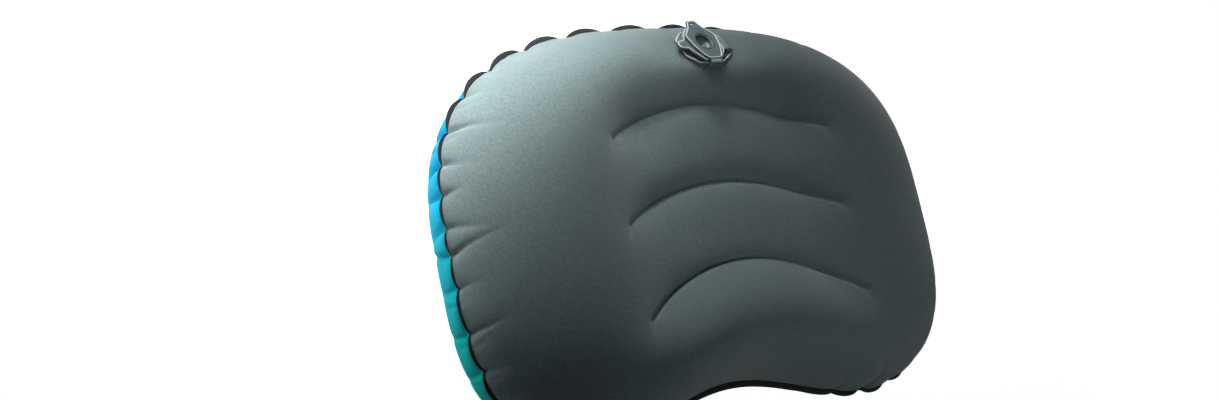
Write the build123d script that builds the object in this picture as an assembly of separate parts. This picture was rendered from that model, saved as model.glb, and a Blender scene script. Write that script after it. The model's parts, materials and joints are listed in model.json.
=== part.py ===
"""Inflatable camp pillow: two welded fabric panels, three inner baffles and a two-flap air valve.

Frame: +Z up, millimetres. The pillow lies with its teal face panel down and its grey back
panel, which carries the valve, up. X runs along its length and +Y points to the long convex
edge, so the hollow for the shoulders faces -Y. The origin is under the middle, on the floor.
"""
from build123d import *
import math
import os

# Pillow outline, measured at the weld line at mid-height
HALF_LENGTH = 206.0
HALF_WIDTH = 147.5
ROUNDNESS = 3.25            # exponent of the superellipse: 2 is an ellipse, more is squarer
NOTCH_DEPTH = 40.7          # how far the shoulder side is pushed in at its middle
NOTCH_REACH = 106.0         # how far the notch spreads to each side
CORNER_DROP = 17.2          # how far the far corners fall back, which arches the convex edge
EDGE_SHIFT = 9.4            # moves the outline so that its box is centred on the origin

# Pillow thickness
MID_HEIGHT = 60.0           # height of the weld line above the floor
CROWN = 74.0                # half-thickness that the panels would reach with no baffles
CROWN_POWER = 3.5           # larger values keep the panels full closer to the edge
DISH = 0.39                 # share of the thickness that the baffles take away
DISH_REACH = (114.0, 85.0)  # half-length and half-width of the dished middle
PANEL_THICKNESS = 0.6
FLANGE_THICKNESS = 0.8
FLANGE_WIDTH = 5.0
FLANGE_LAP = 2.4            # how far the flange reaches in between the panels
SCALLOP_DEPTH = 1.5
SCALLOPS = 52

# Baffles: arcs that bow towards the convex edge
BAFFLE_NAMES = ("rear_baffle", "middle_baffle", "front_baffle")
BAFFLE_APEX = (82.6, 27.8, -28.5)
BAFFLE_SAG = (20.5, 23.0, 29.0)
BAFFLE_HALF_CHORD = 89.5
BAFFLE_THICKNESS = 0.5
BAFFLE_TAB_WIDTH = 7.0

# Valve seat on the back panel; valve sizes are in the valve's own frame, +Z out of the pillow
VALVE_PLACE = (2.0, 111.9, 103.9)
VALVE_TILT = 25.8           # towards the convex edge
VALVE_SPIN = 3.0            # about the valve's own axis
SKIRT_THICKNESS = 1.2
COLLAR_RADIUS = 13.0
COLLAR_BOTTOM = -4.5
RIM_TOP = 3.2
BORE_RADII = (9.5, 11.0)    # at the collar's bottom and at the rim's top
PLUG_RADII = (9.2, 10.8)    # at the plug's bottom and under the flap's plate
FLAP_BOTTOM = 3.4
FLAP_TOP = 5.2
PORT_RADII = (6.8, 7.4)     # at the port's bottom and at the flap's top
PORT_BOTTOM = 1.0
CAGE_RADIUS = 8.2
CAGE_WALL = 1.2
CAGE_BOTTOM = -2.4
SPOKE_HEIGHT = 1.0
SPOKE_WIDTH = 1.6
HUB_RADIUS = 2.4
STEM_RADIUS = 1.2
STEM_CLEARANCE = 0.1
CAP_BOTTOM = 5.5
CAP_TOP = 7.1
CUP_RADII = (6.5, 7.1)      # outside of the cap's hollow plug, bottom and top
CUP_WALL = 0.9
CUP_BOTTOM = 1.5
DISC_RADIUS = 7.7
DISC_THICKNESS = 0.6
DEFLATE_HINGE = (21.0, 3.9)     # x and z of the middle flap's hinge line
INFLATE_HINGE = (-18.6, 5.6)    # y and z of the top flap's hinge line
STRAP_THICKNESS = 1.1
BEAD_RADIUS = 0.95
GROOVE_RADIUS = 1.15
DOUBLER_RADIUS = 14.4
DOUBLER_THICKNESS = 0.4
DOUBLER_GAP = 0.2           # glue line between the doubler and the panel

# Outlines of the valve's moulded plates, in the valve's own frame
SKIRT_CORNERS = [
    (-19, -7.5), (-10, -15.2), (13, -15.2), (26, -7.5), (26, 8), (14, 15.5), (-10, 15.5), (-19, 8)]
SKIRT_CORNER_RADIUS = 2.0
FLAP_CORNERS = [
    (-14.5, -7), (-7.5, -16.2), (7.5, -16.2), (15.5, -7.5), (15.5, 7.5), (7.5, 15.2), (-7.5, 15.2),
    (-14.5, 7.5), (-15.5, 4.2), (-22, 3.2), (-23, 1.5), (-23, -1.5), (-22, -3.2), (-15.5, -4.2)]
CAP_CORNERS = [
    (-5.5, -16.4), (5.5, -16.4), (8.5, -12.5), (12.0, -5.0), (14.2, 5.0), (12.5, 8.0), (7.0, 13.2),
    (3.7, 19.8), (-3.7, 19.8), (-7.0, 13.2), (-12.5, 8.0), (-14.2, 5.0), (-12.0, -5.0), (-8.5, -12.5)]
CAP_CORNER_RADIUS = 1.0
CAP_END = -16.4             # y where the top flap's plate ends and its hinge strap starts
FLAP_END = 15.5             # x where the middle flap's plate ends and its hinge strap starts

# Small moulded features of the valve
HINGE_BLOCK_WIDTH = 13.0    # block on the base that holds the middle flap's bead
HINGE_BLOCK_LENGTH = 5.4
HINGE_BLOCK_SHIFT = 1.4     # how far the block's middle lies behind the hinge line
HINGE_LIP_LENGTH = 4.1      # the lip behind the groove
HINGE_LIP_SHIFT = 2.05
HINGE_LIP_HEIGHT = 1.0
HINGE_FLOOR = 0.9           # from the hinge line down to the block's flat top
DEFLATE_STRAP_WIDTH = 12.0
INFLATE_STRAP_WIDTH = 9.6
TONGUE_WIDTH = 10.0         # block on the middle flap that holds the top flap's bead
TONGUE_LENGTH = 4.4
TONGUE_SHIFT = 0.6
GROOVE_SPARE = 2.0          # how much longer than its block a bead's groove is cut
RIB_PLACES = (16.6, 18.2, 19.8)
RIB_SIZE = (0.7, 0.4)       # length and height of the strap's grip ribs
BUMP_PLACE = -19.0
BUMP_SIZE = (3.2, 4.4, 1.0)
PULL_SLOT = (5.6, 1.7)      # slot in the top flap's pull tab
PULL_SLOT_PLACE = 17.0
SLEEVE_CLEARANCE = 0.05
DISC_CLEARANCE = 0.05
STEM_HEAD = (2.2, 0.8)      # radius and height
STEM_HEAD_BOTTOM = 0.3
STEM_FOOT = (2.6, 0.6)
COLLAR_CLEARANCE = 0.1      # between the collar and the hole in the back panel
SPOKES = 3

WORK_SIZE = 600.0           # anything larger than the pillow, for cutting it
CONTOUR_POINTS = 44
CONTOURS = (1.0, 0.992, 0.965, 0.92, 0.85, 0.76, 0.65, 0.53, 0.40, 0.27, 0.15)
VALVE_FRAME = Location(VALVE_PLACE, (-VALVE_TILT, 0, 0)) * Rotation(0, 0, VALVE_SPIN)
UPWARD = (Align.CENTER, Align.CENTER, Align.MIN)
DOWNWARD = (Align.CENTER, Align.CENTER, Align.MAX)


def plan_point(size, angle, inset):
    """A point of the outline scaled to size (1 at the edge), in plan."""
    c, s = math.cos(angle), math.sin(angle)
    reach = size / (abs(c) ** ROUNDNESS + abs(s) ** ROUNDNESS) ** (1 / ROUNDNESS)
    u, v = reach * c, reach * s
    x = (HALF_LENGTH - inset) * u
    notch = NOTCH_DEPTH * math.exp(-((x / NOTCH_REACH) ** 2)) * ((1 - v) / 2) ** 2
    y = (HALF_WIDTH - inset) * v + notch - CORNER_DROP * u * u * (1 + v) / 2
    return x, y - EDGE_SHIFT


def dish(x, y):
    """How much of the thickness the baffles take away at a place."""
    middle = BAFFLE_APEX[1] - BAFFLE_SAG[1] * (x / BAFFLE_HALF_CHORD) ** 2 - EDGE_SHIFT
    along = (abs(x) / DISH_REACH[0]) ** 4
    across = (abs(y - middle) / DISH_REACH[1]) ** 4
    return DISH * math.exp(-along - across)


def height(size, x, y, inset):
    """Height of a panel over the weld line."""
    full = (CROWN - inset) * math.sqrt(max(0.0, 1 - size ** CROWN_POWER))
    return full * (1 - dish(x, y))


def contour(size, inset, side):
    """One closed ring of a panel's surface."""
    points = []
    for i in range(CONTOUR_POINTS):
        x, y = plan_point(size, 2 * math.pi * i / CONTOUR_POINTS, inset)
        points.append((x, y, MID_HEIGHT + side * height(size, x, y, inset)))
    if size == CONTOURS[-1]:
        level = sum(p[2] for p in points) / len(points)
        points = [(x, y, level) for x, y, _ in points]
    return Wire([Edge.make_spline([Vector(*p) for p in points], periodic=True)])


def half_pillow(inset, side):
    """The solid between the weld line's plane and one panel's surface."""
    body = Solid.make_loft([contour(size, inset, side) for size in CONTOURS])
    if side > 0:    # the flat that the valve is welded to
        return body - VALVE_FRAME * Pos(0, 0, -inset) * Box(WORK_SIZE, WORK_SIZE, WORK_SIZE, align=UPWARD)
    return body - Pos(0, 0, inset) * Box(WORK_SIZE, WORK_SIZE, WORK_SIZE, align=DOWNWARD)


def flange_wire(offset, scallop):
    """The outline, moved out by offset, with a wave of the scallop's depth."""
    count = SCALLOPS * 4 if scallop else CONTOUR_POINTS * 2
    points = []
    for i in range(count):
        angle = 2 * math.pi * i / count
        x, y = plan_point(1.0, angle, -offset)
        wave = scallop * abs(math.sin(SCALLOPS * angle / 2)) - scallop
        reach = 1 + wave / math.hypot(x, y)
        points.append(Vector(x * reach, y * reach, 0))
    return Wire([Edge.make_spline(points, periodic=True)])


def make_flange():
    outer = Face(flange_wire(FLANGE_WIDTH, SCALLOP_DEPTH))
    inner = Face(flange_wire(-FLANGE_LAP, 0))
    disc, hole = (extrude(face, FLANGE_THICKNESS, dir=(0, 0, 1)) for face in (outer, inner))
    return Pos(0, 0, MID_HEIGHT - FLANGE_THICKNESS / 2) * (disc - hole)


def make_panel(outer, inner, side):
    """One fabric panel, a thin shell that stops at the flange."""
    slab = Pos(0, 0, MID_HEIGHT) * Box(WORK_SIZE, WORK_SIZE, FLANGE_THICKNESS)
    panel = outer - inner - slab
    if side > 0:
        panel = panel - VALVE_FRAME * Cylinder(COLLAR_RADIUS + COLLAR_CLEARANCE, -4 * COLLAR_BOTTOM)
    return panel


def arc_strip(apex, sag, width):
    """A tall curved wall, width thick, along one baffle's arc."""
    ends = BAFFLE_HALF_CHORD
    middle = (0, apex - EDGE_SHIFT)
    line = ThreePointArc((-ends, middle[1] - sag), middle, (ends, middle[1] - sag))
    radius = line.radius
    center_y = middle[1] - radius
    tall = 2 * CROWN
    outer = Cylinder(radius + width / 2, tall)
    inner = Cylinder(radius - width / 2, tall)
    far = WORK_SIZE * ends / math.sqrt(radius ** 2 - ends ** 2)
    corners = Polyline((0, 0), (far, WORK_SIZE), (-far, WORK_SIZE), (0, 0))
    wedge = extrude(make_face(corners), tall, both=True)
    return Pos(0, center_y, MID_HEIGHT) * ((outer - inner) & wedge)


def make_baffle(apex, sag, cavity, core):
    """A web between the panels with a welding tab against each of them."""
    web = arc_strip(apex, sag, BAFFLE_THICKNESS) & cavity
    tabs = arc_strip(apex, sag, BAFFLE_TAB_WIDTH) & (cavity - core)
    return web + tabs


def slab_of(points, low, high):
    """A prism with the given corners between two levels."""
    return Pos(0, 0, low) * extrude(make_face(Polyline(*points, close=True)), high - low)


def round_corners(solid, radius):
    return fillet(solid.edges().filter_by(Axis.Z), radius)


def make_valve_base():
    """Weld skirt, collar with the deflation bore, and the block that holds the middle flap's hinge."""
    skirt = round_corners(slab_of(SKIRT_CORNERS, 0, SKIRT_THICKNESS), SKIRT_CORNER_RADIUS)
    tall = RIM_TOP - COLLAR_BOTTOM
    collar = Pos(0, 0, COLLAR_BOTTOM) * (
        Cylinder(COLLAR_RADIUS, tall, align=UPWARD) - Cone(*BORE_RADII, tall, align=UPWARD))
    well = Pos(0, 0, COLLAR_BOTTOM) * Cone(*BORE_RADII, tall, align=UPWARD)
    hinge_x, hinge_z = DEFLATE_HINGE
    floor = hinge_z - HINGE_FLOOR
    low = Pos(hinge_x + HINGE_BLOCK_SHIFT, 0, SKIRT_THICKNESS) * Box(
        HINGE_BLOCK_LENGTH, HINGE_BLOCK_WIDTH, floor - SKIRT_THICKNESS, align=UPWARD)
    lip_middle = hinge_z - HINGE_LIP_HEIGHT / 2
    high = Pos(hinge_x + HINGE_LIP_SHIFT, 0, lip_middle) * Box(
        HINGE_LIP_LENGTH, HINGE_BLOCK_WIDTH, HINGE_LIP_HEIGHT)
    groove = Pos(hinge_x, 0, hinge_z) * Rotation(90, 0, 0) * Cylinder(
        GROOVE_RADIUS, HINGE_BLOCK_WIDTH + GROOVE_SPARE)
    return skirt - well + collar + (low + high - groove)


def make_deflate_flap():
    """Middle flap: plate with a pull tab, the deflation plug and the inflation port."""
    plate = slab_of(FLAP_CORNERS, FLAP_BOTTOM, FLAP_TOP)
    bump = Pos(BUMP_PLACE, 0, FLAP_TOP) * Box(*BUMP_SIZE)
    plug = Pos(0, 0, COLLAR_BOTTOM) * Cone(*PLUG_RADII, FLAP_BOTTOM - COLLAR_BOTTOM, align=UPWARD)
    port = Pos(0, 0, PORT_BOTTOM) * Cone(*PORT_RADII, FLAP_TOP - PORT_BOTTOM, align=UPWARD)
    cavity = Pos(0, 0, PORT_BOTTOM) * Cylinder(
        CAGE_RADIUS, 2 * (PORT_BOTTOM - COLLAR_BOTTOM), align=DOWNWARD)
    hinge_y, hinge_z = INFLATE_HINGE
    tongue = Pos(0, hinge_y + TONGUE_SHIFT, FLAP_BOTTOM) * Box(
        TONGUE_WIDTH, TONGUE_LENGTH, hinge_z - HINGE_FLOOR - FLAP_BOTTOM, align=UPWARD)
    groove = Pos(0, hinge_y, hinge_z) * Rotation(0, 90, 0) * Cylinder(
        GROOVE_RADIUS, TONGUE_WIDTH + GROOVE_SPARE)
    return plate + bump + plug + (tongue - groove) - port - cavity


def make_deflate_hinge():
    """Ribbed strap from the middle flap to a bead that turns in the base's groove."""
    hinge_x, hinge_z = DEFLATE_HINGE
    strap = Pos((FLAP_END + hinge_x) / 2, 0, hinge_z) * Box(
        hinge_x - FLAP_END, DEFLATE_STRAP_WIDTH, STRAP_THICKNESS)
    bead = Pos(hinge_x, 0, hinge_z) * Rotation(90, 0, 0) * Cylinder(BEAD_RADIUS, DEFLATE_STRAP_WIDTH)
    strap = strap + bead
    for x in RIB_PLACES:
        strap = strap + Pos(x, 0, hinge_z + STRAP_THICKNESS / 2) * Box(
            RIB_SIZE[0], DEFLATE_STRAP_WIDTH, RIB_SIZE[1], align=UPWARD)
    return strap


def make_valve_cage():
    """Sleeve inside the plug with three spokes and a hub that guides the release stem."""
    tall = PORT_BOTTOM - CAGE_BOTTOM
    cage = (Cylinder(CAGE_RADIUS - SLEEVE_CLEARANCE, tall, align=UPWARD)
            - Cylinder(CAGE_RADIUS - CAGE_WALL, tall, align=UPWARD)
            + Cylinder(HUB_RADIUS, SPOKE_HEIGHT, align=UPWARD))
    for i in range(SPOKES):
        spoke = Pos(CAGE_RADIUS / 2, 0, 0) * Box(CAGE_RADIUS - 1, SPOKE_WIDTH, SPOKE_HEIGHT, align=UPWARD)
        cage = cage + Rotation(0, 0, 360 / SPOKES * i) * spoke
    cage = cage - Cylinder(STEM_RADIUS + STEM_CLEARANCE, 2 * tall)
    return Pos(0, 0, CAGE_BOTTOM) * cage


def make_check_disc():
    """Soft disc that closes against the cage from inside."""
    disc = Cylinder(DISC_RADIUS, DISC_THICKNESS, align=DOWNWARD)
    hole = Cylinder(STEM_RADIUS + DISC_CLEARANCE, 3 * DISC_THICKNESS)
    return Pos(0, 0, CAGE_BOTTOM - DISC_CLEARANCE) * (disc - hole)


def make_release_stem():
    """Push button, stem and the foot that carries the disc."""
    foot_top = CAGE_BOTTOM - DISC_CLEARANCE - DISC_THICKNESS
    stem = Pos(0, 0, foot_top) * Cylinder(STEM_RADIUS, STEM_HEAD_BOTTOM - foot_top, align=UPWARD)
    head = Pos(0, 0, STEM_HEAD_BOTTOM) * Cylinder(*STEM_HEAD, align=UPWARD)
    foot = Pos(0, 0, foot_top) * Cylinder(*STEM_FOOT, align=DOWNWARD)
    return stem + head + foot


def make_inflate_flap():
    """Top flap: plate with a slotted pull tab and a hollow plug for the inflation port."""
    plate = round_corners(slab_of(CAP_CORNERS, CAP_BOTTOM, CAP_TOP), CAP_CORNER_RADIUS)
    slot = Pos(0, PULL_SLOT_PLACE, CAP_BOTTOM) * extrude(
        SlotOverall(*PULL_SLOT), CAP_TOP - CAP_BOTTOM, both=True)
    cup = Pos(0, 0, CUP_BOTTOM) * Cone(*CUP_RADII, CAP_BOTTOM - CUP_BOTTOM, align=UPWARD)
    hollow = Pos(0, 0, CUP_BOTTOM + CUP_WALL) * Cone(
        CUP_RADII[0] - CUP_WALL, CUP_RADII[1] - CUP_WALL / 2, CAP_TOP - CUP_BOTTOM - CUP_WALL, align=UPWARD)
    return plate + cup - hollow - slot


def make_inflate_hinge():
    """Strap from the top flap to a bead that turns in the middle flap's groove."""
    hinge_y, hinge_z = INFLATE_HINGE
    strap = Pos(0, (hinge_y + CAP_END) / 2, CAP_BOTTOM) * Box(
        INFLATE_STRAP_WIDTH, CAP_END - hinge_y, STRAP_THICKNESS, align=UPWARD)
    bead = Pos(0, hinge_y, hinge_z) * Rotation(0, 90, 0) * Cylinder(BEAD_RADIUS, INFLATE_STRAP_WIDTH)
    return strap + bead


def make_doubler():
    """Fabric ring inside the back panel that carries the load of the valve."""
    disc = Cylinder(DOUBLER_RADIUS, DOUBLER_THICKNESS, align=DOWNWARD)
    hole = Cylinder(COLLAR_RADIUS + COLLAR_CLEARANCE, 3 * DOUBLER_THICKNESS)
    return Pos(0, 0, -PANEL_THICKNESS - DOUBLER_GAP) * (disc - hole)


def build():
    top = half_pillow(0, 1)
    top_core = half_pillow(PANEL_THICKNESS, 1)
    bottom = half_pillow(0, -1)
    bottom_core = half_pillow(PANEL_THICKNESS, -1)
    cavity = top_core + bottom_core
    tab_depth = PANEL_THICKNESS + BAFFLE_THICKNESS
    inner_core = half_pillow(tab_depth, 1) + half_pillow(tab_depth, -1)
    nodes = {
        "back_panel": make_panel(top, top_core, 1),
        "face_panel": make_panel(bottom, bottom_core, -1),
        "perimeter_flange": make_flange(),
    }
    for name, apex, sag in zip(BAFFLE_NAMES, BAFFLE_APEX, BAFFLE_SAG):
        nodes[name] = make_baffle(apex, sag, cavity, inner_core)
    valve = {
        "valve_base": make_valve_base(),
        "deflate_flap": make_deflate_flap(),
        "deflate_hinge": make_deflate_hinge(),
        "valve_cage": make_valve_cage(),
        "check_disc": make_check_disc(),
        "release_stem": make_release_stem(),
        "inflate_flap": make_inflate_flap(),
        "inflate_hinge": make_inflate_hinge(),
        "valve_doubler": make_doubler(),
    }
    for name, shape in valve.items():
        nodes[name] = VALVE_FRAME * shape
    return nodes


os.makedirs("parts", exist_ok=True)
for node_name, node_shape in build().items():
    export_step(node_shape, f"parts/{node_name}.step")
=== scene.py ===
"""Looks of the inflated camp pillow: fabric panels, flange, baffles, valve, studio and camera."""

import json
import math

import bmesh
import bpy
import numpy as np
from mathutils import Matrix, Vector

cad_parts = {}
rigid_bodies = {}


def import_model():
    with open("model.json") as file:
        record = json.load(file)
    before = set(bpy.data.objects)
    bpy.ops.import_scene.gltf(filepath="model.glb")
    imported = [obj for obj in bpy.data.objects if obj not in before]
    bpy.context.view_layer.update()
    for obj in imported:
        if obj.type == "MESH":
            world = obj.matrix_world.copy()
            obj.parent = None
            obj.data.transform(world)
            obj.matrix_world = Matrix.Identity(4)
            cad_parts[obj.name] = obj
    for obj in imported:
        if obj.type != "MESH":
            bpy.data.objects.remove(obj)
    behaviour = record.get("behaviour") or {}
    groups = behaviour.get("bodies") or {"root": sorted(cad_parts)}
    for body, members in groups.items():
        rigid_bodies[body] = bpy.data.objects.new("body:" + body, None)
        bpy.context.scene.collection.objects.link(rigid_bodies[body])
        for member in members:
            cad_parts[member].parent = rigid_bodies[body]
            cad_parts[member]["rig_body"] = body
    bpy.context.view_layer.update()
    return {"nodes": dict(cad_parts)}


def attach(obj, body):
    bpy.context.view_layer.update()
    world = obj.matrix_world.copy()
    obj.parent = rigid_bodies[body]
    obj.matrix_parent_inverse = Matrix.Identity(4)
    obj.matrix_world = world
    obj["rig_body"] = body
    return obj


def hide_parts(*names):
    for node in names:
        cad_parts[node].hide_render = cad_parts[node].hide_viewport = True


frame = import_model()
RNG = np.random.default_rng(7)

# ------------------------------------------------ the pillow's shape as in the CAD, in millimetres
HALF_LENGTH, HALF_WIDTH, ROUNDNESS = 206.0, 147.5, 3.25
NOTCH_DEPTH, NOTCH_REACH = 40.7, 106.0
CORNER_DROP, EDGE_SHIFT = 17.2, 9.4
MID_HEIGHT, CROWN, CROWN_POWER = 60.0, 74.0, 3.5
DISH, DISH_REACH = 0.39, (114.0, 85.0)
BAFFLE_NAMES = ("rear_baffle", "middle_baffle", "front_baffle")
BAFFLE_APEX, BAFFLE_SAG, BAFFLE_HALF_CHORD = (82.6, 27.8, -28.5), (20.5, 23.0, 29.0), 89.5
VALVE_PLACE, VALVE_TILT, VALVE_SPIN = (2.0, 111.9, 103.9), math.radians(25.8), math.radians(3.0)
VALVE_NORMAL = np.array([0.0, math.sin(VALVE_TILT), math.cos(VALVE_TILT)])

# ------------------------------------------------ the fabric's details, in millimetres
MEAN_REACH = 172.0  # about how far the seam lies from the middle, to measure lengths over the crown
# how far apart the gathers are: usual, added on the long side, added towards the notch
GATHER_GAP, LONG_SIDE_SPREAD, NOTCH_END_SPREAD = 17.0, 30.0, 13.0
NOTCH_END_START, NOTCH_END_FADE = 20.0, 60.0
GATHER_SPREAD, LEAST_GAP = (0.82, 1.18), 12.0
SLACK_EDGE = 104.0  # the notch's smooth stretch ends about here, either way along X
SCALLOP_POWER = 0.42  # the lower, the flatter each scallop and the sharper the nick between two
SEAM_PULL, SEAM_WAVE, SEAM_RIPPLE = 3.2, 1.0, 0.6
SEAM_RISE, LONG_SIDE_RISE = 5.0, 1.5
SEAM_HOLD = 16.0
CREASE_DEPTH, CREASE_WIDTH, CREASE_WIDENING = 4.0, 0.75, 0.022
CREASE_ROUNDING, CREASE_SPAN, CREASE_START = 0.2, 24.0, 3.0
# strength and reach: the least, and what chance adds at most; lean: its range
CREASE_STRENGTH, CREASE_REACH, CREASE_LEAN = (0.5, 0.9), (12.0, 22.0), (-0.22, 0.16)
BACK_CREASE_SEED, FACE_CREASE_SEED = 11, 12
LESSER_TUCK_GAP, LESSER_TUCK_DEPTH, LESSER_TUCK_WIDTH = 23.0, 1.3, 0.9
LESSER_TUCK_MIDDLE, LESSER_TUCK_REACH, LESSER_TUCK_LEAN = 9.0, 8.0, 0.2
PUFF_HEIGHT, PUFF_REACH = 1.6, 4.0
FACE_PUFF, FACE_DENT = 1.3, 1.4  # the face panel is fuller and more deeply creased than the back
FLANGE_WIDTH, FLANGE_THICK, FLANGE_AT_GATHER = 4.6, 0.8, 0.8
FLANGE_VARIES, FLANGE_CURL, FLANGE_END_CURL, FLANGE_STEPS = 0.25, 0.9, 1.3, 2400
FLANGE_SECTION = ((-1.6, 0.5), (0.3, 0.5), (0.75, 0.5), (1.0, 0.32),
                  (1.0, -0.32), (0.75, -0.5), (0.3, -0.5), (-1.6, -0.5))
GROOVE_DEPTH, GROOVE_SOFTNESS, GROOVE_HALF_CHORD = 7.0, 9.5, 96.0
GROOVE_END_SHARE, GROOVE_END_FADE = 0.30, 30.0
GROOVE_SEAM_DEPTH, GROOVE_SEAM_WIDTH = 1.6, 1.7
END_HOLLOW, END_HOLLOW_REACH, END_HOLLOW_INSET = (3.2, 1.8, 1.2), 27.0, 22.0
END_TUCK_DEPTH, END_TUCK_WIDTH, END_TUCK_LENGTH, END_TUCK_DROP, END_TUCK_SLANT = 1.1, 3.0, 7.0, 4.0, 0.25
PANEL_THICK = 0.5
WEB_SWAY, WEB_SWAY_LENGTH, WEB_CLEARANCE, WEB_LOWEST = 1.5, 21.0, 1.0, 1.6
BACK_RINGS, FACE_RINGS = 111, 110
VALVE_FLAT_BLEND, VALVE_FLAT_REACH = 1.6, 48.0
REST_BLEND, REST_LIFT = 1.5, 0.02


def plan_point(size, angle):
    """Where the fabric at this share of the way to the seam, in this direction, lies in plan."""
    c, s = np.cos(angle), np.sin(angle)
    reach = size / (np.abs(c) ** ROUNDNESS + np.abs(s) ** ROUNDNESS) ** (1 / ROUNDNESS)
    u, v = reach * c, reach * s
    x = HALF_LENGTH * u
    notch = NOTCH_DEPTH * np.exp(-((x / NOTCH_REACH) ** 2)) * ((1 - v) / 2) ** 2
    y = HALF_WIDTH * v + notch - CORNER_DROP * u * u * (1 + v) / 2
    return x, y - EDGE_SHIFT


def weld_line(x, apex, sag):
    """The weld line's place along Y."""
    return apex - EDGE_SHIFT - sag * (x / BAFFLE_HALF_CHORD) ** 2


def dish(x, y):
    """How far the quilted middle lies below the full crown, as a share of it."""
    middle = weld_line(x, BAFFLE_APEX[1], BAFFLE_SAG[1])
    return DISH * np.exp(-((np.abs(x) / DISH_REACH[0]) ** 4) - (np.abs(y - middle) / DISH_REACH[1]) ** 4)


def crown(size, x, y):
    """How far a panel stands off the mid-height."""
    return CROWN * np.sqrt(np.clip(1 - size**CROWN_POWER, 0, None)) * (1 - dish(x, y))


def running_length(a, b):
    """The length along a line of points, from its start to each point."""
    return np.concatenate([[0], np.cumsum(np.hypot(np.diff(a), np.diff(b)))])


def rim_table():
    """The seam line's direction against its length."""
    angle = np.linspace(0, 2 * math.pi, 7201)
    return angle, running_length(*plan_point(1.0, angle))


def size_table():
    """The share of the way to the seam against the length over the crown, both from the middle."""
    size = 1 - (1 - np.linspace(0, 1, 4001)) ** 3
    return size, running_length(MEAN_REACH * size, CROWN * np.sqrt(1 - size**CROWN_POWER))


RIM_ANGLE, RIM_LENGTH = rim_table()
AROUND = RIM_LENGTH[-1]
SIZE, OVER = size_table()


# ------------------------------------------------ the seam and its gathers
def rim_point(s):
    """The smooth outline's place in plan at a length along it."""
    return plan_point(1.0, np.interp(np.mod(s, AROUND), RIM_LENGTH, RIM_ANGLE))


def gather_places():
    """Where the seam is drawn in, along its length, and how strongly and which way each crease runs."""
    gaps = []
    while sum(gaps) < AROUND - LEAST_GAP:
        x, y = rim_point(sum(gaps))
        usual = GATHER_GAP + LONG_SIDE_SPREAD * (1 - abs(x) / HALF_LENGTH) ** 0.7 * (y > 0)
        usual += NOTCH_END_SPREAD * np.clip((NOTCH_END_START - y) / NOTCH_END_FADE, 0, 1)
        gaps.append(usual * RNG.uniform(*GATHER_SPREAD))
    place = np.cumsum(gaps) * AROUND / sum(gaps)
    count = len(gaps)
    strength = CREASE_STRENGTH[0] + CREASE_STRENGTH[1] * RNG.uniform(0, 1, count) ** 1.3
    reach = CREASE_REACH[0] + CREASE_REACH[1] * RNG.uniform(0, 1, count) ** 1.5
    lean = RNG.uniform(*CREASE_LEAN, count)
    return place, strength, reach, lean


PLACE, STRENGTH, REACH, LEAN = gather_places()
GATHERS = len(PLACE)


def wrap(s):
    """The shorter way round, as a length along the seam with its sign."""
    return (s + AROUND / 2) % AROUND - AROUND / 2


def slack(s):
    """How much spare fabric the seam has: 1 where the outline is convex, 0 along the shoulder notch."""
    x, y = rim_point(s)
    return 1 - np.exp(-((x / SLACK_EDGE) ** 6)) * (y < 0)


def between(s):
    """0 at a gather and 1 half way to the next, along the seam, and the gap's share of the usual one."""
    edges = np.concatenate([[PLACE[-1] - AROUND], PLACE, [PLACE[0] + AROUND]])
    s = np.mod(s, AROUND)
    k = np.clip(np.searchsorted(edges, s, side="right") - 1, 0, len(edges) - 2)
    gap = edges[k + 1] - edges[k]
    u = np.clip((s - edges[k]) / gap, 0, 1)
    return np.sin(math.pi * u), gap / (AROUND / GATHERS)


def smooth_wave(s, seed, waves=(3, 5, 8, 13)):
    """A gentle random rise and fall along the seam, from -1 to 1."""
    rng = np.random.default_rng(seed)
    total = 0
    for n in waves:
        total = total + rng.uniform(0.5, 1) * np.sin(2 * math.pi * n * s / AROUND + rng.uniform(0, 6.28))
    return total / len(waves)


def long_side_share(y):
    """1 along the long convex side and 0 from the middle to the notch."""
    return np.clip(y / HALF_WIDTH, 0, 1) ** 2


def seam_line(s):
    """The seam at each length along it: plan place, drawn in at the gathers, height and outward normal."""
    x, y = rim_point(s)
    xa, ya = rim_point(s + 0.5)
    xb, yb = rim_point(s - 0.5)
    norm = np.hypot(xa - xb, ya - yb)
    nx, ny = (ya - yb) / norm, -(xa - xb) / norm
    swell, gap = between(s)
    loose, long_side = slack(s), long_side_share(y)
    pull = SEAM_PULL * (1 - swell**SCALLOP_POWER) * np.clip(gap, 0.6, 1.1) * loose * (1 - 0.5 * long_side)
    z = MID_HEIGHT + LONG_SIDE_RISE * long_side
    z = z + SEAM_RISE * np.clip(np.abs(x) / HALF_LENGTH, 0, 1) ** 3
    sway = SEAM_WAVE * smooth_wave(s, 3) + SEAM_RIPPLE * smooth_wave(s, 4, (21, 34, 47))
    z = z + sway * (0.3 + 0.7 * loose)
    return x - nx * pull, y - ny * pull, z, nx, ny


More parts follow.
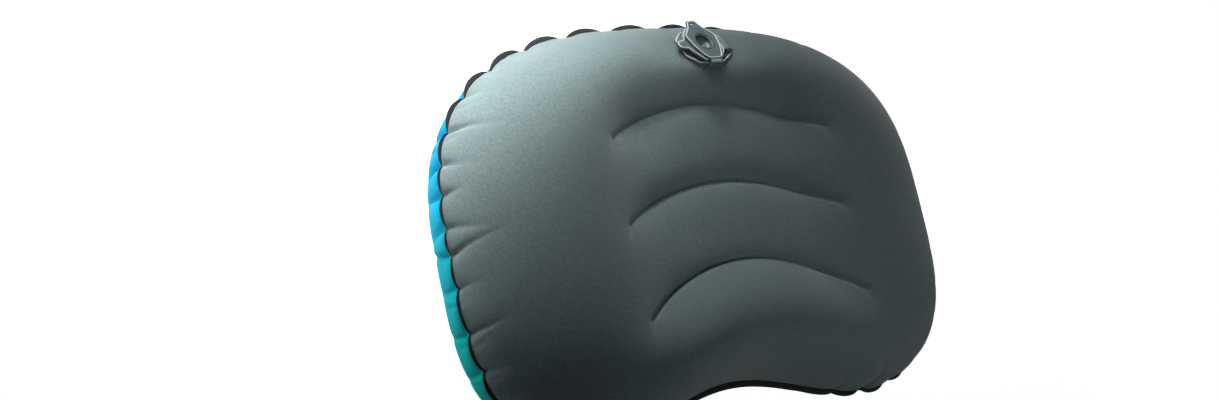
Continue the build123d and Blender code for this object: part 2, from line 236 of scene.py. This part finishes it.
def creases(s, over, seed):
    """How far the fabric stands in at the creases that run in from the gathers."""
    total = np.zeros_like(s)
    rng = np.random.default_rng(seed)
    gain = rng.uniform(0.7, 1.3, GATHERS)
    stretch = rng.uniform(0.75, 1.3, GATHERS)
    beside = rng.uniform(0.35, 0.6, GATHERS)
    for k in range(GATHERS):
        # a short lesser tuck stands part of the way to the next gather, where that is far off
        gap = (PLACE[(k + 1) % GATHERS] - PLACE[k]) % AROUND
        if gap > LESSER_TUCK_GAP:
            d = wrap(s - PLACE[k] - beside[k] * gap + LESSER_TUCK_LEAN * over)
            along = ((over - LESSER_TUCK_MIDDLE) / LESSER_TUCK_REACH) ** 2
            across = np.sqrt(d**2 + CREASE_ROUNDING) / LESSER_TUCK_WIDTH
            total += LESSER_TUCK_DEPTH * gain[k] * np.exp(-along - across)
        d = wrap(s - PLACE[k] - LEAN[k] * over)
        near = np.abs(d) < CREASE_SPAN
        if not near.any():
            continue
        width = CREASE_WIDTH + CREASE_WIDENING * over[near]
        along = np.exp(-((over[near] / (REACH[k] * stretch[k])) ** 2))
        across = np.exp(-np.sqrt(d[near] ** 2 + CREASE_ROUNDING) / width)
        total[near] += CREASE_DEPTH * STRENGTH[k] * gain[k] * along * across
    return total * slack(s)


# ------------------------------------------------ the dents along the three weld lines
def nearest_on_weld(x, y, apex, sag):
    """The nearest point of a weld line, by Newton steps."""
    px = np.clip(x, -GROOVE_HALF_CHORD, GROOVE_HALF_CHORD)
    for _ in range(6):
        slope = -2 * sag * px / BAFFLE_HALF_CHORD**2
        error = (px - x) + (weld_line(px, apex, sag) - y) * slope
        px = np.clip(px - error / (1 + slope**2), -GROOVE_HALF_CHORD, GROOVE_HALF_CHORD)
    return px, weld_line(px, apex, sag)


def weld_channel(x, y, apex, sag):
    """The soft valley that the weld pulls in, shallower at its ends, with the weld's own line in it."""
    px, py = nearest_on_weld(x, y, apex, sag)
    d = np.hypot(x - px, y - py)
    end = np.clip((GROOVE_HALF_CHORD - np.abs(px)) / GROOVE_END_FADE, 0, 1)
    depth = GROOVE_DEPTH * (GROOVE_END_SHARE + (1 - GROOVE_END_SHARE) * end**0.8)
    valley = depth * np.exp(-(np.sqrt(d * d + 1.0) - 1.0) / GROOVE_SOFTNESS)
    return valley + GROOVE_SEAM_DEPTH * np.exp(-((d / GROOVE_SEAM_WIDTH) ** 2))


def weld_end(x, y, apex, sag, hollow, way):
    """The hollow at one end of a weld, and the short tuck where the spare fabric folds over."""
    hx = way * (GROOVE_HALF_CHORD - END_HOLLOW_INSET)
    hy = weld_line(hx, apex, sag)
    bowl = hollow * np.exp(-((x - hx) ** 2 + (y - hy) ** 2) / END_HOLLOW_REACH**2)
    ex = way * GROOVE_HALF_CHORD
    ey = weld_line(ex, apex, sag)
    across = (x - ex) + way * END_TUCK_SLANT * (y - ey)
    along = ey - y - END_TUCK_DROP
    tuck = np.exp(-((across / END_TUCK_WIDTH) ** 2) - (along / END_TUCK_LENGTH) ** 2)
    return bowl + END_TUCK_DEPTH * tuck


def groove(x, y):
    """Depth of the dents along the three weld lines at a point in plan."""
    total = np.zeros_like(x)
    for apex, sag, hollow in zip(BAFFLE_APEX, BAFFLE_SAG, END_HOLLOW):
        total += weld_channel(x, y, apex, sag)
        for way in (-1, 1):
            total += weld_end(x, y, apex, sag, hollow, way)
    return total


# ------------------------------------------------ one panel's vertices
def grid(n):
    """A square grid of n rings laid over a panel: each point's share of the way out, its place along
    the seam, and the quads."""
    a, b = np.meshgrid(np.arange(-n, n + 1), np.arange(-n, n + 1), indexing="ij")
    ring = np.maximum(np.abs(a), np.abs(b))
    safe = np.maximum(ring, 1)
    sides = [(a == ring) & (b > -ring), (b == ring) & (a < ring), (a == -ring) & (b < ring)]
    side = np.select(sides, [0, 1, 2], 3)
    along = np.select([side == 0, side == 1, side == 2, side == 3], [b, -a, -b, a], 0)
    share = ((side * 2 * safe + along) / (8 * safe)) % 1.0
    share[ring == 0] = 0
    index = np.arange((2 * n + 1) ** 2).reshape(2 * n + 1, 2 * n + 1)
    corners = [index[:-1, :-1], index[1:, :-1], index[1:, 1:], index[:-1, 1:]]
    return ring.ravel() / n, share.ravel() * AROUND, np.stack(corners, -1).reshape(-1, 4)


def normals_of(points, quads):
    a, b, c, d = (points[quads[:, i]] for i in range(4))
    face = np.cross(c - a, d - b)
    out = np.zeros_like(points)
    for i in range(4):
        np.add.at(out, quads[:, i], face)
    return out / np.maximum(np.linalg.norm(out, axis=1, keepdims=True), 1e-12)


def fullness(s, over, side):
    """How far the fabric stands out between the gathers, less how far it stands in at the creases."""
    swell, gap = between(s)
    rise = (over / PUFF_REACH) * np.exp(1 - over / PUFF_REACH)
    puff = PUFF_HEIGHT * swell**SCALLOP_POWER * np.clip(gap, 0.6, 1.2) * slack(s) * rise
    seed = BACK_CREASE_SEED if side > 0 else FACE_CREASE_SEED
    dent = creases(s, over, seed) * (1 - np.exp(-((over / CREASE_START) ** 2)))
    if side < 0:
        return puff * FACE_PUFF - dent * FACE_DENT
    return puff - dent


def hold_to_seam(points, s, over):
    """Bring the panel's edge smoothly onto the seam's own line, and set the panel at its height."""
    sx, sy, sz, _, _ = seam_line(s)
    ox, oy = rim_point(s)
    hold = np.exp(-((over / SEAM_HOLD) ** 1.5))
    points[:, 0] += (sx - ox) * hold
    points[:, 1] += (sy - oy) * hold
    points[:, 2] += MID_HEIGHT + (sz - MID_HEIGHT) * hold


def flatten_for_valve(points):
    """Press the fabric back to the flat that the valve is welded to."""
    above = (points - np.array(VALVE_PLACE)) @ VALVE_NORMAL
    lowered = -VALVE_FLAT_BLEND * np.log(np.exp(-above / VALVE_FLAT_BLEND) + 1.0)
    away = np.hypot(points[:, 0] - VALVE_PLACE[0], points[:, 1] - VALVE_PLACE[1])
    near = np.exp(-((away / VALVE_FLAT_REACH) ** 4)) * (points[:, 2] > MID_HEIGHT)
    points += (near * (lowered - above))[:, None] * VALVE_NORMAL


def flatten_for_rest(points):
    """Press the fabric flat where it rests on the ground."""
    z = points[:, 2]
    points[:, 2] = np.where(z < REST_BLEND, REST_BLEND * np.exp((z - REST_BLEND) / REST_BLEND), z)
    points[:, 2] += REST_LIFT


def panel_points(n, side):
    """Vertices (mm) and quads of one inflated panel; side is +1 for the back and -1 for the face."""
    ring, s, quads = grid(n)
    size = np.interp(ring * OVER[-1], OVER, SIZE)
    x, y = plan_point(size, np.interp(s, RIM_LENGTH, RIM_ANGLE))
    points = np.stack([x, y, side * crown(size, x, y)], -1)
    if side < 0:
        quads = quads[:, ::-1]
    over = (1 - ring) * OVER[-1]
    points = points + normals_of(points, quads) * fullness(s, over, side)[:, None]
    hold_to_seam(points, s, over)
    points[:, 2] -= side * groove(points[:, 0], points[:, 1])
    if side > 0:
        flatten_for_valve(points)
    else:
        flatten_for_rest(points)
    return points, quads


def mesh_object(name, points_mm, faces):
    mesh = bpy.data.meshes.new(name)
    mesh.from_pydata((np.asarray(points_mm) / 1000).tolist(), [], np.asarray(faces).tolist())
    mesh.update()
    mesh.shade_smooth()
    obj = bpy.data.objects.new(name, mesh)
    bpy.context.scene.collection.objects.link(obj)
    return obj


def thicken(obj, millimetres, inward=True):
    solid = obj.modifiers.new("thickness", "SOLIDIFY")
    solid.thickness = millimetres / 1000
    solid.offset = -1 if inward else 0


def skin(rows, closed):
    """Quads between rows of points: round each closed loop, or along each open row."""
    count, total = len(rows[0]), len(rows)
    i = np.arange(count if closed else count - 1)
    j = (i + 1) % count
    faces = []
    for r in range(total if closed else total - 1):
        a, b = r * count, (r + 1) % total * count
        faces.append(np.stack([a + i, a + j, b + j, b + i], -1))
    return np.concatenate(faces)


# ------------------------------------------------ materials
def material(name):
    made = bpy.data.materials.new(name)
    made.use_nodes = True
    tree = made.node_tree
    return made, tree, tree.nodes["Principled BSDF"]


def node(tree, kind, values=(), **settings):
    made = tree.nodes.new(kind)
    for key, value in settings.items():
        setattr(made, key, value)
    for key, value in dict(values).items():
        made.inputs[key].default_value = value
    return made


def noise(tree, where, scale, detail, roughness=0.5):
    made = node(tree, "ShaderNodeTexNoise", {"Scale": scale, "Detail": detail, "Roughness": roughness})
    tree.links.new(where, made.inputs["Vector"])
    return made.outputs["Fac"]


def mapped(tree, source, low, high, to_low=0.0, to_high=1.0):
    """A value's range stretched to another."""
    made = node(tree, "ShaderNodeMapRange",
                {"From Min": low, "From Max": high, "To Min": to_low, "To Max": to_high})
    tree.links.new(source, made.inputs["Value"])
    return made.outputs[0]


def combined(tree, operation, first, second):
    """Two values joined by one operation; the second may be a plain number."""
    made = node(tree, "ShaderNodeMath", operation=operation)
    tree.links.new(first, made.inputs[0])
    if isinstance(second, float):
        made.inputs[1].default_value = second
    else:
        tree.links.new(second, made.inputs[1])
    return made.outputs[0]


def linear(r, g, b):
    """An 8-bit sRGB colour as linear light."""
    parts = (((v / 255 + 0.055) / 1.055) ** 2.4 if v > 10 else v / 255 / 12.92 for v in (r, g, b))
    return tuple(parts) + (1.0,)


def scaled(colour, share):
    return tuple(min(1, v * share) for v in colour[:3]) + (1,)


def ramp(tree, source, stops):
    made = tree.nodes.new("ShaderNodeValToRGB")
    elements = made.color_ramp.elements
    while len(elements) < len(stops):
        elements.new(0.5)
    for element, (place, colour) in zip(elements, stops):
        element.position, element.color = place, colour
    tree.links.new(source, made.inputs[0])
    return made.outputs["Color"]


def ombre_and_painted_light(tree, where, axis, low, high, stops):
    """A colour that changes along one axis, its bands drifting a little: a dyed fade on the teal, and on the
    grey painted light that is lighter towards the lit end.
    """
    split = tree.nodes.new("ShaderNodeSeparateXYZ")
    tree.links.new(where, split.inputs[0])
    drift = combined(tree, "MULTIPLY", noise(tree, where, 9.0, 2.0), 0.03)
    moved = combined(tree, "ADD", split.outputs[axis], drift)
    return ramp(tree, mapped(tree, moved, low, high), stops)


def woven(tree, where, thread_mm):
    """The relief of two sets of threads that cross."""
    threads = []
    for direction in ("X", "Y"):
        scale = 1000 / thread_mm / 20 * math.pi
        values = {"Scale": scale, "Distortion": 1.2, "Detail": 1.0, "Detail Scale": 2.0}
        wave = node(tree, "ShaderNodeTexWave", values, bands_direction=direction)
        tree.links.new(where, wave.inputs["Vector"])
        threads.append(wave.outputs["Fac"])
    return combined(tree, "MAXIMUM", *threads)


def fabric(name, stops, axis, ends, sheen, rough, thread_mm, relief, grain=0.10, specular=0.25):
    """Brushed woven polyester: a colour ramp along one axis (on the teal a dyed fade with its -Y end also
    painted lighter, on the grey painted light alone), fine grain in the colour, and a weave in the bump.
    """
    made, tree, shader = material(name)
    link = tree.links.new
    where = tree.nodes.new("ShaderNodeTexCoord").outputs["Object"]
    # grain: the brushed surface's tiny light and dark fibres, over broader patches
    fine = noise(tree, where, 520.0, 3.0, 0.7)
    broad = noise(tree, where, 38.0, 4.0, 0.6)
    fibres = combined(tree, "MULTIPLY", mapped(tree, fine, 0.3, 0.7, 1 - grain, 1 + grain),
                      mapped(tree, broad, 0.3, 0.7, 0.96, 1.04))
    tinted = node(tree, "ShaderNodeVectorMath", operation="SCALE")
    link(ombre_and_painted_light(tree, where, axis, *ends, stops), tinted.inputs[0])
    link(fibres, tinted.inputs["Scale"])
    link(tinted.outputs[0], shader.inputs["Base Color"])
    # the weave, and the soft nap over it
    nap = combined(tree, "MULTIPLY", fine, 0.8)
    bump = node(tree, "ShaderNodeBump", {"Strength": relief, "Distance": 0.0003})
    link(combined(tree, "ADD", woven(tree, where, thread_mm), nap), bump.inputs["Height"])
    link(bump.outputs[0], shader.inputs["Normal"])
    link(mapped(tree, broad, 0.2, 0.8, rough - 0.06, rough + 0.06), shader.inputs["Roughness"])
    shader.inputs["Sheen Weight"].default_value = sheen
    shader.inputs["Sheen Roughness"].default_value = 0.45
    shader.inputs["Specular IOR Level"].default_value = specular
    return made


def plastic(name, colour, rough, transmission=0.0):
    """Moulded TPU: satin, slightly clouded, its edges rounded in the shading."""
    made, tree, shader = material(name)
    link = tree.links.new
    where = tree.nodes.new("ShaderNodeTexCoord").outputs["Object"]
    cloud = noise(tree, where, 60.0, 1.0)
    tone = ramp(tree, cloud, [(0.2, scaled(colour, 0.94)), (0.8, scaled(colour, 1.06))])
    link(tone, shader.inputs["Base Color"])
    link(mapped(tree, cloud, 0.3, 0.7, rough - 0.05, rough + 0.07), shader.inputs["Roughness"])
    rounded = node(tree, "ShaderNodeBevel", {"Radius": 0.0005})
    rounded.samples = 6
    bump = node(tree, "ShaderNodeBump", {"Strength": 0.05, "Distance": 0.0002})
    link(noise(tree, where, 2500.0, 2.0), bump.inputs["Height"])
    link(rounded.outputs[0], bump.inputs["Normal"])
    link(bump.outputs[0], shader.inputs["Normal"])
    shader.inputs["Transmission Weight"].default_value = transmission
    shader.inputs["IOR"].default_value = 1.48
    return made


# Painted light: the grey's ramp along X is lighter and more neutral towards -X, where the key lights fall,
# and darker and more teal towards +X, which lies in shade.
GREY = fabric("grey_brushed_polyester", [(0.0, linear(86, 102, 104)), (1.0, linear(114, 131, 131))],
              "X", (0.21, -0.21), sheen=0.35, rough=0.78, thread_mm=0.7, relief=0.35, grain=0.17)
# The teal's ramp is the fabric's dyed fade, green-teal at -Y to blue at +Y; its -Y end is also painted
# lighter, painted light standing in for light bouncing up onto the lower wall.
TEAL_STOPS = [(0.0, linear(4, 196, 158)), (0.35, linear(0, 194, 190)),
              (0.7, linear(0, 172, 208)), (1.0, linear(2, 128, 200))]
TEAL = fabric("ombre_teal_polyester", TEAL_STOPS,
              "Y", (-0.145, 0.125), sheen=0.02, rough=0.8, thread_mm=0.7, relief=0.3, specular=0.08)
# The seam band is painted near-black, far darker than either panel: partly its dark weld edge, partly painted
# shade for the seam lying in shadow between the panels.
FLANGE_DARK_EDGE_AND_SHADE = fabric("seam_dark_edge_and_painted_shade", [(0.0, linear(28, 34, 35)), (1.0, linear(36, 43, 44))],
                "X", (-0.2, 0.2), sheen=0.15, rough=0.7, thread_mm=0.8, relief=0.5)
INNER = fabric("grey_baffle_film", [(0.0, linear(110, 118, 120)), (1.0, linear(124, 132, 134))],
               "X", (-0.2, 0.2), sheen=0.1, rough=0.6, thread_mm=0.8, relief=0.2)
VALVE = plastic("valve_tpu", linear(100, 116, 118), rough=0.30, transmission=0.06)
# Painted highlight: a near-white copy of the valve TPU for the lips round the plates.
VALVE_RIM_PAINTED_HIGHLIGHT = plastic("valve_rim_painted_highlight", linear(222, 229, 230), rough=0.16)
# Painted shade: a darker copy of the valve TPU for the parts that sit inside the valve.
VALVE_INNER_PAINTED_SHADE = plastic("valve_inner_painted_shade", linear(62, 76, 78), rough=0.34)
# Painted highlight: a lighter copy of the valve TPU for the hinge straps.
VALVE_STRAP_PAINTED_HIGHLIGHT = plastic("valve_strap_painted_highlight", linear(130, 146, 147), rough=0.24)
# Painted shade: a darker copy of the valve TPU for the recessed inflate bowl.
VALVE_BOWL_PAINTED_SHADE = plastic("valve_bowl_painted_shade", linear(86, 101, 103), rough=0.22)
SILICONE = plastic("check_silicone", linear(180, 182, 178), rough=0.45, transmission=0.1)


def paint(obj, made):
    obj.data.materials.clear()
    obj.data.materials.append(made)


# ------------------------------------------------ the baffles, the panels and the flange
def make_baffle(name, apex, sag):
    """A fabric web welded to both panels, swaying a little between them, that stops under the grooves."""
    x = np.linspace(-BAFFLE_HALF_CHORD, BAFFLE_HALF_CHORD, 91)
    y = weld_line(x, apex, sag)
    direction = np.arctan2(y + EDGE_SHIFT, x / HALF_LENGTH * HALF_WIDTH)
    size = np.full_like(x, 0.4)
    for _ in range(40):  # the share of the way out at which the panel passes over each point
        px, py = plan_point(size, direction)
        size = size * np.hypot(x, y + EDGE_SHIFT) / np.maximum(np.hypot(px, py + EDGE_SHIFT), 1e-6)
    top = crown(np.clip(size, 0, 1), x, y) - groove(x, y) - WEB_CLEARANCE
    rows = []
    for level in np.linspace(-1, 1, 15):
        sway = WEB_SWAY * (1 - level**2) * np.sin(x / WEB_SWAY_LENGTH)
        rows.append(np.stack([x, y + sway, np.maximum(MID_HEIGHT + level * top, WEB_LOWEST)], -1))
    obj = mesh_object(name + "_web", np.concatenate(rows), skin(rows, closed=False))
    thicken(obj, PANEL_THICK, inward=False)
    paint(obj, INNER)
    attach(obj, "pillow")
    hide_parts(name)


def make_panel(name, node_name, n, side, made):
    obj = mesh_object(name, *panel_points(n, side))
    thicken(obj, PANEL_THICK)
    paint(obj, made)
    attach(obj, "pillow")
    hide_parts(node_name)


def make_flange():
    """The two panels' joined edges: a thin welded band, scalloped and drawn in at the gathers."""
    s = np.arange(FLANGE_STEPS) * AROUND / FLANGE_STEPS
    x, y, z, nx, ny = seam_line(s)
    swell, gap = between(s)
    loose = slack(s)
    end = np.clip(np.abs(x) / HALF_LENGTH, 0, 1) ** 4
    full = FLANGE_WIDTH * (1 - FLANGE_VARIES * end + FLANGE_VARIES * long_side_share(y))
    scallop = FLANGE_AT_GATHER + (full - FLANGE_AT_GATHER) * swell**0.7 * np.clip(gap, 0.7, 1.15)
    width = full * (1 - loose) + loose * scallop
    curl = FLANGE_CURL * smooth_wave(s, 8, (17, 29, 41)) * loose + FLANGE_END_CURL * end
    rows = []
    for share, up in FLANGE_SECTION:
        out = share if share < 0 else share * width
        lift = curl * max(share, 0) ** 2 + FLANGE_THICK * up
        rows.append(np.stack([x + nx * out, y + ny * out, z + lift], -1))
    obj = mesh_object("seam_flange", np.concatenate(rows), skin(rows, closed=True))
    # Painted near-black: the dark weld edge, and painted shade along the seam.
    paint(obj, FLANGE_DARK_EDGE_AND_SHADE)
    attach(obj, "pillow")
    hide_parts("perimeter_flange")


for name, apex, sag in zip(BAFFLE_NAMES, BAFFLE_APEX, BAFFLE_SAG):
    make_baffle(name, apex, sag)
make_panel("back_fabric_panel", "back_panel", BACK_RINGS, +1, GREY)
make_panel("face_fabric_panel", "face_panel", FACE_RINGS, -1, TEAL)
make_flange()

# ------------------------------------------------ the valve, in its own frame (mm, +Z out of the pillow)
SKIRT_CORNERS = [(-19, -7.5), (-10, -15.2), (13, -15.2), (26, -7.5),
                 (26, 8), (14, 15.5), (-10, 15.5), (-19, 8)]
FLAP_CORNERS = [(-14.5, -7), (-7.5, -16.2), (7.5, -16.2), (15.5, -7.5), (15.5, 7.5),
                (7.5, 15.2), (-7.5, 15.2), (-14.5, 7.5), (-15.5, 4.2), (-22, 3.2),
                (-23, 1.5), (-23, -1.5), (-22, -3.2), (-15.5, -4.2)]
CAP_RIGHT_SIDE = [(5.5, -16.4), (8.5, -12.5), (12.0, -5.0), (14.2, 5.0),
                  (12.5, 8.0), (7.0, 13.2), (3.7, 19.8)]
CAP_CORNERS = [(-5.5, -16.4)] + CAP_RIGHT_SIDE + [(-x, y) for x, y in CAP_RIGHT_SIDE[:0:-1]]
BOWL_PROFILE = [(7.9, 7.12), (7.5, 7.3), (7.0, 7.2), (6.5, 6.6), (6.1, 5.6), (5.6, 4.4), (4.8, 3.5),
                (3.2, 2.9), (0.05, 2.75), (0.05, 2.5), (5.0, 2.5), (6.0, 5.4), (6.5, 6.9)]
BEAD_SIDES = 10
SAME_FACE_ANGLE, ROUNDED_EDGE_ANGLE = math.radians(1.5), math.radians(38)
VALVE_TURN = Matrix.Rotation(-VALVE_TILT, 4, "X") @ Matrix.Rotation(VALVE_SPIN, 4, "Z")
VALVE_FRAME = Matrix.Translation(Vector(VALVE_PLACE)) @ VALVE_TURN


def in_valve(points):
    return [tuple(VALVE_FRAME @ Vector(p)) for p in points]


def rounded_path(corners, inset, cuts=3):
    """A closed outline moved in by inset, its corners rounded off."""
    pts = np.array(corners, float)
    after, before = np.roll(pts, -1, 0) - pts, pts - np.roll(pts, 1, 0)
    normal = np.stack([-after[:, 1], after[:, 0]], -1) / np.linalg.norm(after, axis=1, keepdims=True)
    back = np.stack([-before[:, 1], before[:, 0]], -1) / np.linalg.norm(before, axis=1, keepdims=True)
    mean = normal + back
    mean /= np.maximum((mean**2).sum(1, keepdims=True) / 2, 0.4)
    area = (pts[:, 0] * np.roll(pts[:, 1], -1) - np.roll(pts[:, 0], -1) * pts[:, 1]).sum()
    pts = pts + mean * inset * (1 if area > 0 else -1)
    for _ in range(cuts):
        nxt = np.roll(pts, -1, 0)
        step = np.linalg.norm(nxt - pts, axis=1, keepdims=True)
        share = np.clip(1.1 / np.maximum(step, 1e-6), 0, 0.25)
        pts = np.stack([pts + (nxt - pts) * share, nxt - (nxt - pts) * share], 1).reshape(-1, 2)
    return pts


def bead(name, corners, inset, level, radius, body):
    """The raised lip that runs round a moulded plate, a thin round bead, painted near-white as a painted
    highlight along the plate's edge.
    """
    path = rounded_path(corners, inset)
    tangent = np.roll(path, -1, 0) - np.roll(path, 1, 0)
    tangent /= np.linalg.norm(tangent, axis=1, keepdims=True)
    side = np.stack([-tangent[:, 1], tangent[:, 0]], -1)
    rows = []
    for angle in np.arange(BEAD_SIDES) * 2 * math.pi / BEAD_SIDES:
        xy = path + side * radius * math.cos(angle)
        rows.append([(x, y, level + radius * math.sin(angle)) for x, y in xy])
    obj = mesh_object(name, in_valve(sum(rows, [])), skin(rows, closed=True))
    paint(obj, VALVE_RIM_PAINTED_HIGHLIGHT)
    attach(obj, body)


def lathe(name, profile, made, body, segments=72):
    """A closed round piece on the valve's axis from its profile of (radius, height)."""
    rows = []
    for angle in np.arange(segments) * 2 * math.pi / segments:
        rows.append([(r * math.cos(angle), r * math.sin(angle), z) for r, z in profile])
    faces = skin(rows, closed=True)[:, ::-1]
    obj = mesh_object(name, in_valve(sum(rows, [])), faces)
    paint(obj, made)
    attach(obj, body)


def moulded(node_name, width, made_of):
    """A moulded valve part: the CAD node's shape with every edge rounded off."""
    source = frame["nodes"][node_name]
    mesh = source.data.copy()
    made = bmesh.new()
    made.from_mesh(mesh)
    bmesh.ops.remove_doubles(made, verts=made.verts, dist=1e-6)
    bmesh.ops.dissolve_limit(made, angle_limit=SAME_FACE_ANGLE, verts=made.verts, edges=made.edges)
    made.to_mesh(mesh)
    made.free()
    mesh.shade_smooth()
    obj = bpy.data.objects.new(node_name + "_moulded", mesh)
    bpy.context.scene.collection.objects.link(obj)
    bevel = obj.modifiers.new("rounded", "BEVEL")
    bevel.width, bevel.segments, bevel.limit_method = width / 1000, 2, "ANGLE"
    bevel.angle_limit, bevel.use_clamp_overlap = ROUNDED_EDGE_ANGLE, True
    even = obj.modifiers.new("flat_faces_stay_flat", "WEIGHTED_NORMAL")
    even.mode, even.weight, even.keep_sharp = "FACE_AREA", 100, False
    paint(obj, made_of)
    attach(obj, source["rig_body"])
    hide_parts(node_name)


# The hinge straps take the lighter copy of the valve TPU, a painted highlight.
MOULDINGS = (("valve_base", 0.35, VALVE), ("deflate_flap", 0.3, VALVE), ("inflate_flap", 0.3, VALVE),
             ("deflate_hinge", 0.12, VALVE_STRAP_PAINTED_HIGHLIGHT), ("inflate_hinge", 0.15, VALVE_STRAP_PAINTED_HIGHLIGHT))
for name, width, made_of in MOULDINGS:
    moulded(name, width, made_of)
bead("skirt_lip", SKIRT_CORNERS, 0.9, 1.2, 0.45, "pillow")
bead("deflate_flap_lip", FLAP_CORNERS, 0.7, 5.1, 0.38, "deflate_flap")
bead("inflate_flap_lip", CAP_CORNERS, 0.8, 7.05, 0.42, "inflate_flap")
# The bowl takes the darker copy of the TPU, painted shade in the recess.
lathe("inflate_bowl", BOWL_PROFILE, VALVE_BOWL_PAINTED_SHADE, "inflate_flap")
paint(frame["nodes"]["valve_doubler"], INNER)
# The cage and stem inside the valve take the darker copy of the TPU, painted shade.
for name in ("valve_cage", "release_stem"):
    paint(frame["nodes"][name], VALVE_INNER_PAINTED_SHADE)
paint(frame["nodes"]["check_disc"], SILICONE)


# ------------------------------------------------ studio, in metres
FLOOR_SIZE, FLOOR_DROP, FLOOR_GLOW = 12, 0.0004, 0.9


def stage():
    """A white floor that glows for the camera alone, so that its glow doesn't light the object."""
    bpy.ops.mesh.primitive_plane_add(size=FLOOR_SIZE, location=(0, 0, -FLOOR_DROP))
    floor = bpy.context.object
    floor.name = "floor"
    made, tree, shader = material("white_sweep")
    where = tree.nodes.new("ShaderNodeTexCoord").outputs["Generated"]
    stops = [(0.0, linear(243, 244, 245)), (1.0, linear(250, 250, 250))]
    tone = ramp(tree, noise(tree, where, 3.0, 2.0), stops)
    tree.links.new(tone, shader.inputs["Base Color"])
    shader.inputs["Roughness"].default_value = 0.9
    shader.inputs["Emission Color"].default_value = (1, 1, 1, 1)
    seen = tree.nodes.new("ShaderNodeLightPath").outputs["Is Camera Ray"]
    tree.links.new(mapped(tree, seen, 0.0, 1.0, 0.0, FLOOR_GLOW), shader.inputs["Emission Strength"])
    floor.data.materials.append(made)


def area_light(name, place, aim, size, power, spread=180):
    data = bpy.data.lights.new(name, "AREA")
    data.shape = "RECTANGLE"
    data.size, data.size_y = size
    data.energy = power
    data.spread = math.radians(spread)
    light = bpy.data.objects.new(name, data)
    light.location = place
    light.rotation_euler = (Vector(aim) - Vector(place)).to_track_quat("-Z", "Y").to_euler()
    light.visible_camera = False
    bpy.context.scene.collection.objects.link(light)


def lights():
    """A wide soft key from the long side, narrow ones on the bright corner, and weak fills elsewhere."""
    area_light("soft_key", (-0.25, 0.92, 0.34), (-0.08, 0.05, 0.08), (1.1, 0.4), 4.45)
    area_light("corner_pool", (-0.42, 0.44, 0.48), (-0.175, 0.175, 0.075), (0.16, 0.12), 0.11, spread=34)
    area_light("crown_pool", (-0.26, 0.50, 0.50), (-0.20, 0.185, 0.07), (0.28, 0.05), 0.42, spread=32)
    area_light("long_side_strip", (-0.15, 0.70, 0.30), (-0.08, 0.16, 0.11), (0.3, 0.08), 0.07, spread=24)
    area_light("end_light", (-0.60, 0.35, 0.30), (-0.20, 0.06, 0.06), (0.1, 0.1), 0.027, spread=22)
    area_light("dish_fill", (0.35, -0.50, 0.60), (0.05, 0.06, 0.09), (0.3, 0.3), 0.11, spread=40)
    area_light("teal_bounce", (-0.262, -0.03, 0.001), (-0.262, -0.03, 1.0), (0.03, 0.30), 0.035)
    area_light("right_fill", (1.1, -0.25, 0.16), (0.15, 0.0, 0.04), (0.5, 0.25), 0.5)
    area_light("front_fill", (0.15, -1.1, 0.16), (0.0, -0.1, 0.04), (0.5, 0.25), 0.35)
    world = bpy.data.worlds.new("studio")
    world.use_nodes = True
    world.node_tree.nodes["Background"].inputs["Color"].default_value = (0.9, 0.95, 1.0, 1)
    world.node_tree.nodes["Background"].inputs["Strength"].default_value = 0.03
    bpy.context.scene.world = world
    bpy.context.scene.view_settings.view_transform = "Standard"
    bpy.context.scene.view_settings.look = "None"


def camera(place, target, roll, lens):
    """A camera at place that looks at target, turned by roll degrees about its line of sight."""
    forward = (target - place).normalized()
    right = forward.cross(Vector((0, 0, 1))).normalized()
    up = right.cross(forward)
    c, s = math.cos(math.radians(roll)), math.sin(math.radians(roll))
    matrix = Matrix((right * c + up * s, up * c - right * s, -forward)).transposed().to_4x4()
    matrix.translation = place
    data = bpy.data.cameras.new("camera")
    data.sensor_width, data.lens = 36.0, lens
    data.clip_start, data.clip_end = 0.05, 50
    obj = bpy.data.objects.new("camera", data)
    obj.matrix_world = matrix
    bpy.context.scene.collection.objects.link(obj)
    bpy.context.scene.camera = obj


stage()
lights()
camera(Vector((-0.7536, -0.1646, 0.9436)), Vector((-0.0692, 0.0195, 0.060)), roll=65.85, lens=49.2)
